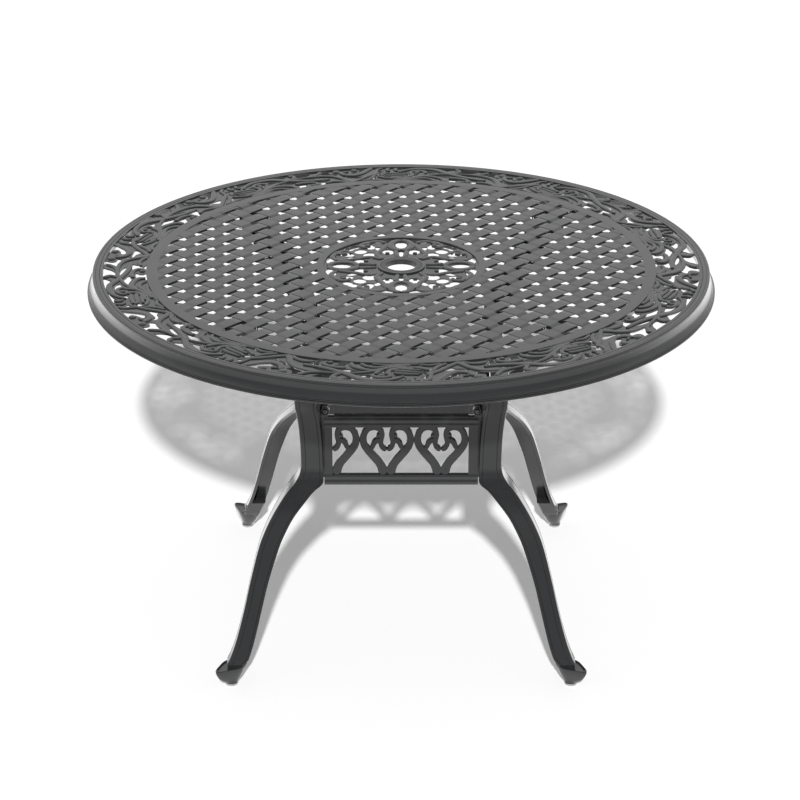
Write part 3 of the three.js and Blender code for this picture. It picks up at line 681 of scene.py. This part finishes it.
def scrollBorder():
    form, growth, overrun, segments = picked(borderParts, "form", "gapGrowth", "overrun", "segments")
    strokes = newShape()
    for points, widths in borderParts["strokes"]:
        addStroke(strokes, [onBorder(*point) for point in points], widths, form)
    for spot, radius in borderParts["balls"]:
        addBall(strokes, onBorder(*spot), radius, form)
    gaps = [smoothLoop(grownLoop([onBorder(*point) for point in gap], growth), borderParts["spacing"])
            for gap in borderParts["gaps"]]
    radii = [(table["borderOuter"] + overrun, segments), (table["borderInner"] - overrun, segments)]
    piercedRing("scrollBorder", borderParts, radii, strokes, gaps)


scrollBorder()
print("border done")

# Medallion round the umbrella hole

medallionParts = {
    "repeats": 4, "base": (727, 729.2, 0.6), "gapGrowth": 1.3, "strokeGrowth": 1.25, "gapPoints": 20,
    "ballSegments": 12, "overrun": 1.5, "collarOverrun": 1, "segments": 120,
    "form": {"bottom": 726.8, "top": 731.2, "edge": 1.7, "crown": 0.6, "ballRise": 0.7, "spacing": 3,
             "foot": 0.4},
    # degrees from the quarter's axis, distance from the middle, half width and half length of the gaps on
    # the axis and between two quarters, and then of those that are mirrored
    "gaps": [(0, 116, 8.5, 14), (0, 67, 3.5, 11.3), (45, 112.5, 10, 9), (45, 81.5, 11.5, 14)],
    "mirroredGaps": [(18, 82, 9, 10.5), (14, 140, 15, 7), (31, 129, 9, 16), (42, 138, 8, 7), (25, 104, 5, 9)],
    # curves across and out along the quarter's axis, mirrored: points, widths
    "mirrored": [
        ([(0, 85), (12, 90), (19.5, 103), (20, 120), (13, 135), (0, 141)], [10, 11, 11, 10]),
        ([(27, 122), (36, 92), (48, 62), (36, 37)], [8, 9, 9, 8]),
        ([(60, 121), (72, 122), (80, 113), (76, 102), (66, 99)], [9, 9, 8, 6]),
        ([(28, 125), (45, 135), (62, 131), (78, 122)], [8, 9, 8]),
        ([(7, 48), (9, 66), (12, 82)], [7, 8, 9]),
    ],
    "balls": [((66, 111), 6), ((27, 69), 4.6)],
}


def medallion():
    form, growth, count = picked(medallionParts, "form", "gapGrowth", "gapPoints")
    quarter = newShape()
    for side in (-1, 1):
        for points, widths in medallionParts["mirrored"]:
            grown = [width * medallionParts["strokeGrowth"] for width in widths]
            addStroke(quarter, [(out, side * across) for across, out in points], grown, form)
        for (across, out), radius in medallionParts["balls"]:
            addBall(quarter, (out, side * across), radius, form, medallionParts["ballSegments"])
    mirrored = [(side * turn, *sizes) for turn, *sizes in medallionParts["mirroredGaps"] for side in (1, -1)]
    gaps = []
    for turn, away, halfWidth, halfLength in medallionParts["gaps"] + mirrored:
        oval = [(away + growth * halfLength * x, growth * halfWidth * y) for x, y in ringOutline(1, count)]
        gaps.append([turnedSpot(x, y, turn) for x, y in oval])
    radii = [(table["medallionInner"] + medallionParts["overrun"], medallionParts["segments"]),
             (bandParts["collarOuter"] - medallionParts["collarOverrun"], bandParts["collarSegments"])]
    piercedRing("medallionCasting", medallionParts, radii, quarter, gaps)


medallion()
print("medallion done")

# Umbrella ring

holeRing = {
    "profile": [(29, 722.1), (29.6, 721.5), (34.9, 721.5), (35.5, 722.1), (35.5, 729), (39.6, 729),
                (40, 729.4), (40, 731), (39.7, 731.7), (39, 732), (31.2, 732), (29.9, 731.7), (29.2, 731),
                (29, 730)],
    "segments": 72, "smoothUnder": 50,
}


def umbrellaRing():
    shape = newShape()
    addTurned(shape, holeRing["profile"], holeRing["segments"])
    makePiece("umbrellaHoleRing", shape, ["umbrella_ring"], holeRing["smoothUnder"], ringPlastic)


umbrellaRing()
print("umbrella ring done")

# Legs

legParts = {
    # reach of the outer corner against height: the curves' handles, then stations with the width
    "arm": [(330, 715.7), (276, 655.5), (204, 595.3), (204, 515.1)],
    "neck": [(204, 515.1), (194, 469.9), (194, 386)],
    "armWidths": (54, 42), "neckWidths": (42, 42.4), "steps": {"arm": 28, "neck": 10},
    "shin": [(194, 386, 43), (197.7, 371, 46.7), (206.5, 358, 55), (219, 347, 50.5), (232, 332, 47.8),
             (249.8, 307, 42.8), (264.1, 281, 41), (275.2, 253, 39.2), (290.6, 195, 35.6), (300.7, 151, 34.5),
             (312.1, 107, 35), (320.9, 78, 36), (330, 55, 37), (333.2, 49.5, 35.6), (336.2, 44.5, 33)],
    "wall": 7, "fillet": 4, "cornerRadius": 4, "cornerBand": 8.8, "groove": 1.3, "recess": 0.35,
    "splay": 25, "splayTop": 386, "splayFoot": 55,
    # strip behind the panel's end, wider round the lower screw, and its web out to the leg
    "seat": {"low": 353, "high": 508.1, "inner": 137, "innerAbove": 141, "widerBelow": 400, "outer": 163.6,
             "side": 156.6, "back": 158, "front": 164.7},
    "flange": {"near": 266, "far": 329, "low": 707.7, "high": 715.7, "edge": 1},
    # foot with its upturned toe: height, round radius, size of the kite outline, share of the kite
    "footMiddle": (328, 353),
    "foot": [(4.6, 11.7, 0.45, 0), (5.2, 12.4, 0.45, 0), (7, 12.8, 0.46, 0.15), (9, 13, 0.52, 0.45),
             (12, 13, 0.59, 0.75), (16, 13, 0.67, 0.95), (20, 12, 0.74, 1), (25, 12, 0.83, 1),
             (30, 12, 0.91, 1), (34, 12, 0.96, 1), (37, 12, 0.985, 1), (39.4, 12, 0.985, 1),
             (40.8, 12, 0.96, 1), (41, 12, 0.93, 1), (40.2, 12, 0.89, 1), (38.6, 12, 0.84, 1),
             (37.6, 12, 0.76, 1)],
    # sides of the kite: way they face in degrees, distance from the middle
    "footSides": [(110, 21), (-20, 21), (-90, 27), (180, 27)], "footRounding": 3.2,
    # block between the foot and the leg's open inside: height, middle, half width
    "shank": [(26, 320, 12), (43, 316.4, 17.6), (47, 315.4, 17.6), (52, 312.9, 17.3), (58, 310.6, 17.4),
              (66, 307.4, 17.4), (71, 305.2, 17.2)],
    "footPoints": 48, "shankCut": 3, "seatSteps": 20, "smoothUnder": 40,
}


def curvePoint(handles, t):
    points = [np.array(handle, float) for handle in handles]
    while len(points) > 1:
        points = [a + (b - a) * t for a, b in zip(points[:-1], points[1:])]
    return points[0]


def splayAt(height):
    share = (legParts["splayTop"] - height) / (legParts["splayTop"] - legParts["splayFoot"])
    share = min(1, max(0, share))
    return legParts["splay"] * share * share * (3 - 2 * share)


def legStations():
    stations = []
    for part, steps in legParts["steps"].items():
        first, last = legParts[part + "Widths"]
        for i in range(steps):
            reach, height = curvePoint(legParts[part], i / steps)
            stations.append((reach, height, first + (last - first) * i / steps))
    samples, _ = finePath(legParts["shin"])
    return stations + [tuple(sample) for sample in samples[::2]]


def angleOutline(width):
    # half of the angle's outline, from the rounded corner along one arm and back to the fillet
    radius, wall, groove, recess = picked(legParts, "cornerRadius", "wall", "groove", "recess")
    band = legParts["cornerBand"]
    half = [tuple(radius + c for c in polar(radius, a)) for a in (225, 236, 247, 258, 270)]
    half += [(band, 0), (band + 0.35, groove * 0.9), (band + 0.9, groove), (band + 1.5, recess),
             ((band + width) / 2, recess), (width - 6.8, recess), (width - 6.2, groove),
             (width - 5.6, groove * 0.9), (width - 5.2, 0.1), (width - 4.4, 0), (width - 1.3, 0),
             (width - 0.35, 0.4), (width, 1.3), (width, wall - 1.1), (width - 0.35, wall - 0.3),
             (width - 1.2, wall)]
    inner = wall + legParts["fillet"]
    half += [(0.6 * width, wall), (inner, wall)]
    half += [tuple(inner - c for c in polar(legParts["fillet"], a)) for a in (75, 60, 45)]
    return half + [(q, p) for p, q in reversed(half[1:-1])]


def footSections():
    # from the round pad of the glide to the kite with its upturned toe
    (middleX, middleY), power, count, sides = picked(legParts, "footMiddle", "footRounding", "footPoints",
                                                     "footSides")
    sections = []
    for height, plain, size, share in legParts["foot"]:
        ring = []
        for turn in np.arange(count) * 360 / count:
            pull = sum(max(0, polar(1, turn - side)[0] / away) ** power for side, away in sides)
            x, y = polar((1 - share) * plain + share * size * pull ** (-1 / power), turn)
            ring.append((middleX + x, middleY + y, height))
        sections.append(ring)
    return sections


def shankSections():
    sections = []
    for height, middle, half in legParts["shank"]:
        x, y, cut = middle, middle + splayAt(height), half - legParts["shankCut"]
        outline = [(half, -cut), (half, cut), (cut, half), (-cut, half), (-half, cut), (-half, -cut),
                   (-cut, -half), (cut, -half)]
        sections.append([(x + dx, y + dy, height) for dx, dy in outline])
    return sections


def seatSections(swapped):
    # one of the leg's two seats; the other one has x and y swapped
    seat = legParts["seat"]
    outer, side, back, front = picked(seat, "outer", "side", "back", "front")
    reaches, heights, _ = zip(*reversed(legStations()))
    sections = []
    for height in np.linspace(seat["low"], seat["high"], legParts["seatSteps"]):
        web = np.interp(height, heights, reaches) - legParts["wall"] / 2
        inner = seat["inner"] if height < seat["widerBelow"] else seat["innerAbove"]
        outline = [(inner + 0.8, back), (outer, back), (outer, web), (side, web), (side, front),
                   (inner + 0.5, front), (inner, front - 0.5), (inner, back + 0.8)]
        sections.append([(y, x, height) if swapped else (x, y, height) for x, y in outline])
    return sections


def cornerShape():
    # the +X, +Y corner; the others mirror it
    shape = newShape()
    sections = []
    for reach, height, width in legStations():
        sections.append([(reach - p, reach + splayAt(height) - q, height) for p, q in angleOutline(width)])
    addLoft(shape, sections)
    addLoft(shape, footSections())
    addLoft(shape, shankSections())
    near, far, low, high, edge = picked(legParts["flange"], "near", "far", "low", "high", "edge")
    addBlock(shape, (near, near, low), (far, far, high), edge)
    for swapped in (False, True):
        addLoft(shape, seatSections(swapped))
    return shape


corners = {"front_left": (-1, -1), "front_right": (1, -1), "rear_left": (-1, 1), "rear_right": (1, 1)}


def legCastings():
    shape = cornerShape()
    for place, (sideX, sideY) in corners.items():
        mirrored = movedShape(shape, lambda x, y, z: (sideX * x, sideY * y, z))
        makePiece("legCasting_" + place, mirrored, ["leg_" + place], legParts["smoothUnder"])


legCastings()
print("legs done")

# Heart panels

panelParts = {
    "half": 149, "low": 341.6, "high": 490.6, "back": 165, "face": 175,
    "topRail": 26.8, "bottomRail": 21.7, "leftStile": 16.3, "pitch": 105, "hearts": 2.5,
    "notchStart": 129.3, "notchDepth": 4.6, "edge": 0.8, "railFoot": 5, "smoothUnder": 45,
    # rail sections: height below the rail's top, depth out from the panel's back
    "topBandSection": [(0, 9.2), (0.5, 10.2), (4.4, 11.9), (5.2, 11.7), (5.8, 10.3)],
    "topRailSection": [(4.6, 9.8), (5.4, 10.3), (7.2, 10.3), (8, 10.9), (11.4, 12), (12.2, 12), (17.8, 10.5),
                       (19.2, 10.5), (20.2, 11.5), (25.8, 12), (26.8, 11.2)],
    "bottomRailSection": [(0, 10.6), (0.6, 11), (3.8, 12), (4.6, 12), (10, 10.5), (10.8, 10.5), (11.4, 10.9),
                          (15.2, 12), (16, 12), (21, 10.6), (21.7, 9.8)],
    "form": {"bottom": 0.4, "top": 9.8, "edge": 1.7, "crown": 0.2, "spacing": 3.2, "foot": 0.92},
    "strokeGrowth": 1.28,
    # right half of one heart, from its axis and the window's foot: points, widths
    "curves": [
        ([(7.6, -1), (7.6, 3), (8.9, 12.4), (14.5, 24.1), (25.8, 38.1), (36.2, 51), (43.4, 62.7),
          (45.7, 75.5), (43, 87.2), (36.6, 95.9), (26.9, 99.4), (17.2, 97.8), (11, 91.9), (9.3, 83.7),
          (10.3, 76.7), (11.8, 68.5), (9.9, 60.3), (5.2, 54.5), (0, 53.3)],
         [15, 14.4, 13, 12.8, 12.6, 12, 11, 10, 9.6, 9.4, 8.6, 8, 8.2, 9.4]),
        ([(11.4, 74.4), (18.6, 72), (24.8, 66.2), (28.3, 56.8), (31, 51)], [7, 9, 8, 5]),
        ([(13.4, 84.9), (17.5, 83.2), (20.7, 79)], [6, 4, 1]),
    ],
    "lug": {"x": 147, "z": 498.1, "radius": 9, "depth": 13.2, "floor": 10.9, "hole": 3.3, "cup": 6.5,
            "neckLeft": 6, "neckRight": 8.4, "neckOverrun": 3, "neckDrop": 4, "neckFace": 9.8,
            "segments": 40},
}


def frontPanel():
    shape = newShape()
    half, low, high, back, edge = picked(panelParts, "half", "low", "high", "back", "edge")
    left = -half + panelParts["leftStile"]
    right = left + panelParts["hearts"] * panelParts["pitch"]
    bottom, top = low + panelParts["bottomRail"], high - panelParts["topRail"]

    def upright(x, y, depth):
        return x, -(back + depth), y

    notch, shoulder = panelParts["notchStart"], high - panelParts["notchDepth"]
    outer = [(-half, low), (half, low), (half, shoulder), (notch + 0.5, shoulder), (notch, high),
             (-notch, high), (-notch - 0.5, shoulder), (-half, shoulder)]
    window = [(left, bottom), (right, bottom), (right, top), (left, top)]
    addPlate(shape, [outer, window], 0, panelParts["face"] - back, edge, upright)
    for key, railTop, end in (("topBandSection", high, notch), ("topRailSection", high, half),
                              ("bottomRailSection", bottom, half)):
        outline = [(railTop - drop, depth) for drop, depth in panelParts[key]]
        outline += [(outline[-1][0], panelParts["railFoot"]), (outline[0][0], panelParts["railFoot"])]
        addLoft(shape, [[(x, height, depth) for height, depth in outline] for x in (-end, end)], upright)
    # the window holds half a heart at its left end, and then whole ones
    for k in range(ceil(panelParts["hearts"])):
        axis = left + k * panelParts["pitch"]
        for points, widths in panelParts["curves"]:
            for side in ((1,) if k == 0 else (-1, 1)):
                path = [(axis + side * x, bottom + y) for x, y in points]
                grown = [width * panelParts["strokeGrowth"] for width in widths]
                addStroke(shape, path, grown, panelParts["form"], upright)
    lug = panelParts["lug"]
    radius, depth, floor, hole, cup = picked(lug, "radius", "depth", "floor", "hole", "cup")
    ring = [(hole, 0.3), (hole, floor), (cup - 0.4, floor), (cup, floor + 0.4), (cup, depth - 0.5),
            (cup + 0.4, depth), (radius - 0.9, depth), (radius - 0.2, depth - 0.6), (radius, depth - 1.4),
            (radius, 0.3)]
    for side in (-1, 1):
        x, neckTop = side * lug["x"], lug["z"] - lug["neckDrop"]
        addTurned(shape, ring, lug["segments"], origin=(x, -back, lug["z"]), axis=(0, -1, 0))
        near, far = sorted((x - side * lug["neckLeft"], x + side * lug["neckRight"]))
        neckFoot = shoulder - lug["neckOverrun"]
        neck = [(near, neckFoot), (far, neckFoot), (far, neckTop), (near, neckTop)]
        addPlate(shape, [neck], 0.3, lug["neckFace"], edge, upright)
    return shape


def heartPanels():
    shape = frontPanel()
    for place, turn in (("front", 0), ("right", 90), ("rear", 180), ("left", 270)):
        turned = turnedAbout(shape, turn)
        makePiece("heartCasting_" + place, turned, ["heart_panel_" + place], panelParts["smoothUnder"])


heartPanels()
print("panels done")

# Screws, bolts and glides

screwParts = {
    "headShares": [(0, 0.5), (0.44, 0.5), (0.44, 0.96), (0.56, 1), (0.74, 0.96), (0.9, 0.82), (0.98, 0.6),
                   (1, 0.35), (1, 0.04), (0.96, 0)],
    # radius and height of the head, radius of the shank, and 1 for a head that faces outwards and up
    "kinds": {"upper_screw": (4.9, 4, 3, 1), "lower_screw": (5.8, 4, 3, -1),
              "leg_bolt": (7.5, 5.5, 4, -1)},
    "socketSides": 6, "socketShares": (0.1, 0.5), "segments": 36, "tipEdge": 0.8, "centre": 0.05,
    "smoothUnder": 35,
}
glideParts = {
    "profile": [(0, 0), (9.4, 0), (10.8, 0.5), (11.7, 1.5), (12, 3), (12, 8.6), (11.8, 9.3), (11.2, 9.7),
                (4, 9.7), (4, 28.5), (3, 29.7), (0, 29.7)],
    "segments": 48, "smoothUnder": 40,
}


def fastenerShape(node, headRadius, headHeight, shankRadius, way):
    # follows its node: the head at one end of the box, the shank to the other
    low, high = (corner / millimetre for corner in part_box(node))
    size, middle = high - low, (low + high) / 2
    lengthwise = max(range(3), key=lambda k: size[k])
    axis = Vector((0, 0, 0))
    axis[lengthwise] = way if middle[lengthwise] > 0 else -way
    shank = size[lengthwise] - headHeight
    origin = middle + axis * (size[lengthwise] / 2 - headHeight)
    least, most = screwParts["socketShares"]
    centre, tip = screwParts["centre"], screwParts["tipEdge"]
    profile = []
    for share, rise in screwParts["headShares"]:
        sides = [screwParts["socketSides"]] if least < share < most else []
        profile.append([max(share * headRadius, centre), rise * headHeight, *sides])
    profile += [[shankRadius, 0], [shankRadius, tip - shank], [shankRadius - tip, -shank], [centre, -shank]]
    shape = newShape()
    addTurned(shape, profile, screwParts["segments"], origin=origin, axis=axis)
    return shape


def fasteners():
    for node in sorted(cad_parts):
        for kind, sizes in screwParts["kinds"].items():
            if node.startswith(kind):
                shape = fastenerShape(node, *sizes)
                makePiece("socketHead_" + node, shape, [node], screwParts["smoothUnder"], zincFinish)
    profile = [(max(radius, screwParts["centre"]), height) for radius, height in glideParts["profile"]]
    for place in corners:
        node = "foot_glide_" + place
        middle = sum(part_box(node), Vector()) / 2 / millimetre
        shape = newShape()
        addTurned(shape, profile, glideParts["segments"], origin=(middle.x, middle.y, 0))
        makePiece("glideFoot_" + place, shape, [node], glideParts["smoothUnder"], glideNylon)


fasteners()
print("fasteners and glides done")

# Floor, light and camera

stageParts = {
    "floorReach": 24, "floorColour": (0.86, 0.86, 0.86, 1), "floorGlow": 0.2, "floorShine": 1.25,
    "worldColour": (1, 1, 1, 1), "worldForLight": 0.3, "glossFront": 0.35, "glossBack": 1,
    "keyStrength": 4, "keyWidth": 2, "keyHeight": 33.4,
    # from front to back, where the floor's shine grows, in metres, and the sky's, by direction
    "shineSpan": (-0.8, 1), "glossSpan": (-0.4, 0.15),
}


def floorMaterial():
    material = bpy.data.materials.new("paleFloor")
    tree = emptyTree(material)
    paint = addNode(tree, "BsdfDiffuse", {"Color": stageParts["floorColour"]}).outputs[0]
    path = addNode(tree, "LightPath").outputs
    seen = mathNode(tree, "MAXIMUM", path["Is Camera Ray"], path["Is Glossy Ray"])
    seen = mathNode(tree, "MAXIMUM", seen, path["Is Transmission Ray"])
    plain = mathNode(tree, "MULTIPLY", seen, stageParts["floorGlow"])
    # in the table's reflections, the floor is brighter behind it than in front
    place = addNode(tree, "SeparateXYZ", {0: addNode(tree, "TexCoord").outputs["Object"]}).outputs["Y"]
    behind = rangeNode(tree, place, *stageParts["shineSpan"], 0, stageParts["floorShine"])
    strength = mathNode(tree, "MULTIPLY_ADD", behind, path["Is Glossy Ray"], plain)
    glow = addNode(tree, "Emission", {"Color": (1, 1, 1, 1), "Strength": strength}).outputs[0]
    both = addNode(tree, "AddShader", {0: paint, 1: glow}).outputs[0]
    # seen from below, the floor is clear
    below = addNode(tree, "NewGeometry").outputs["Backfacing"]
    clear = addNode(tree, "BsdfTransparent").outputs[0]
    sided = addNode(tree, "MixShader", {0: below, 1: both, 2: clear})
    addNode(tree, "OutputMaterial", {"Surface": sided.outputs[0]})
    return material


def studioFloor():
    reach = stageParts["floorReach"]
    mesh = bpy.data.meshes.new("studioFloor")
    spots = [(-reach, -reach, 0), (reach, -reach, 0), (reach, reach, 0), (-reach, reach, 0)]
    mesh.from_pydata(spots, [], [[0, 1, 2, 3]])
    mesh.materials.append(floorMaterial())
    addObject("studioFloor", mesh)


def whiteStudio():
    world = bpy.data.worlds.new("whiteStudio")
    scene.world = world
    tree = emptyTree(world)
    path = addNode(tree, "LightPath").outputs
    seen = mathNode(tree, "MAXIMUM", path["Is Camera Ray"], path["Is Transmission Ray"])
    level = rangeNode(tree, seen, 0, 1, stageParts["worldForLight"], 1)
    # in the table's reflections, the studio is darker in front of it than behind
    heading = addNode(tree, "SeparateXYZ", {0: addNode(tree, "TexCoord").outputs["Generated"]}).outputs["Y"]
    dark, bright = stageParts["glossFront"], stageParts["glossBack"]
    gloss = rangeNode(tree, heading, *stageParts["glossSpan"], dark, bright)
    mixed = addNode(tree, "Mix", {0: path["Is Glossy Ray"], 2: level, 3: gloss}).outputs[0]
    sky = addNode(tree, "Background", {"Color": stageParts["worldColour"], "Strength": mixed})
    addNode(tree, "OutputWorld", {"Surface": sky.outputs[0]})


def keyLight():
    key = bpy.data.lights.new("softKey", "SUN")
    key.energy = stageParts["keyStrength"]
    key.angle = radians(stageParts["keyWidth"])
    lamp = addObject("softKey", key)
    lamp.rotation_euler = (radians(90 - stageParts["keyHeight"]), 0, 0)
    lamp.visible_glossy = False


cameraParts = {
    "place": (0, -5.7229, 2.9225), "tilt": 66.595, "lens": 141.64, "sensor": 36, "shift": -0.00148,
}


def camera():
    data = bpy.data.cameras.new("photoCamera")
    data.lens = cameraParts["lens"]
    data.sensor_width = cameraParts["sensor"]
    data.shift_x = cameraParts["shift"]
    viewer = addObject("photoCamera", data)
    viewer.location = cameraParts["place"]
    viewer.rotation_euler = (radians(cameraParts["tilt"]), 0, 0)
    scene.camera = viewer


studioFloor()
whiteStudio()
keyLight()
camera()
scene.view_settings.view_transform = "Standard"
print("studio and camera ready")
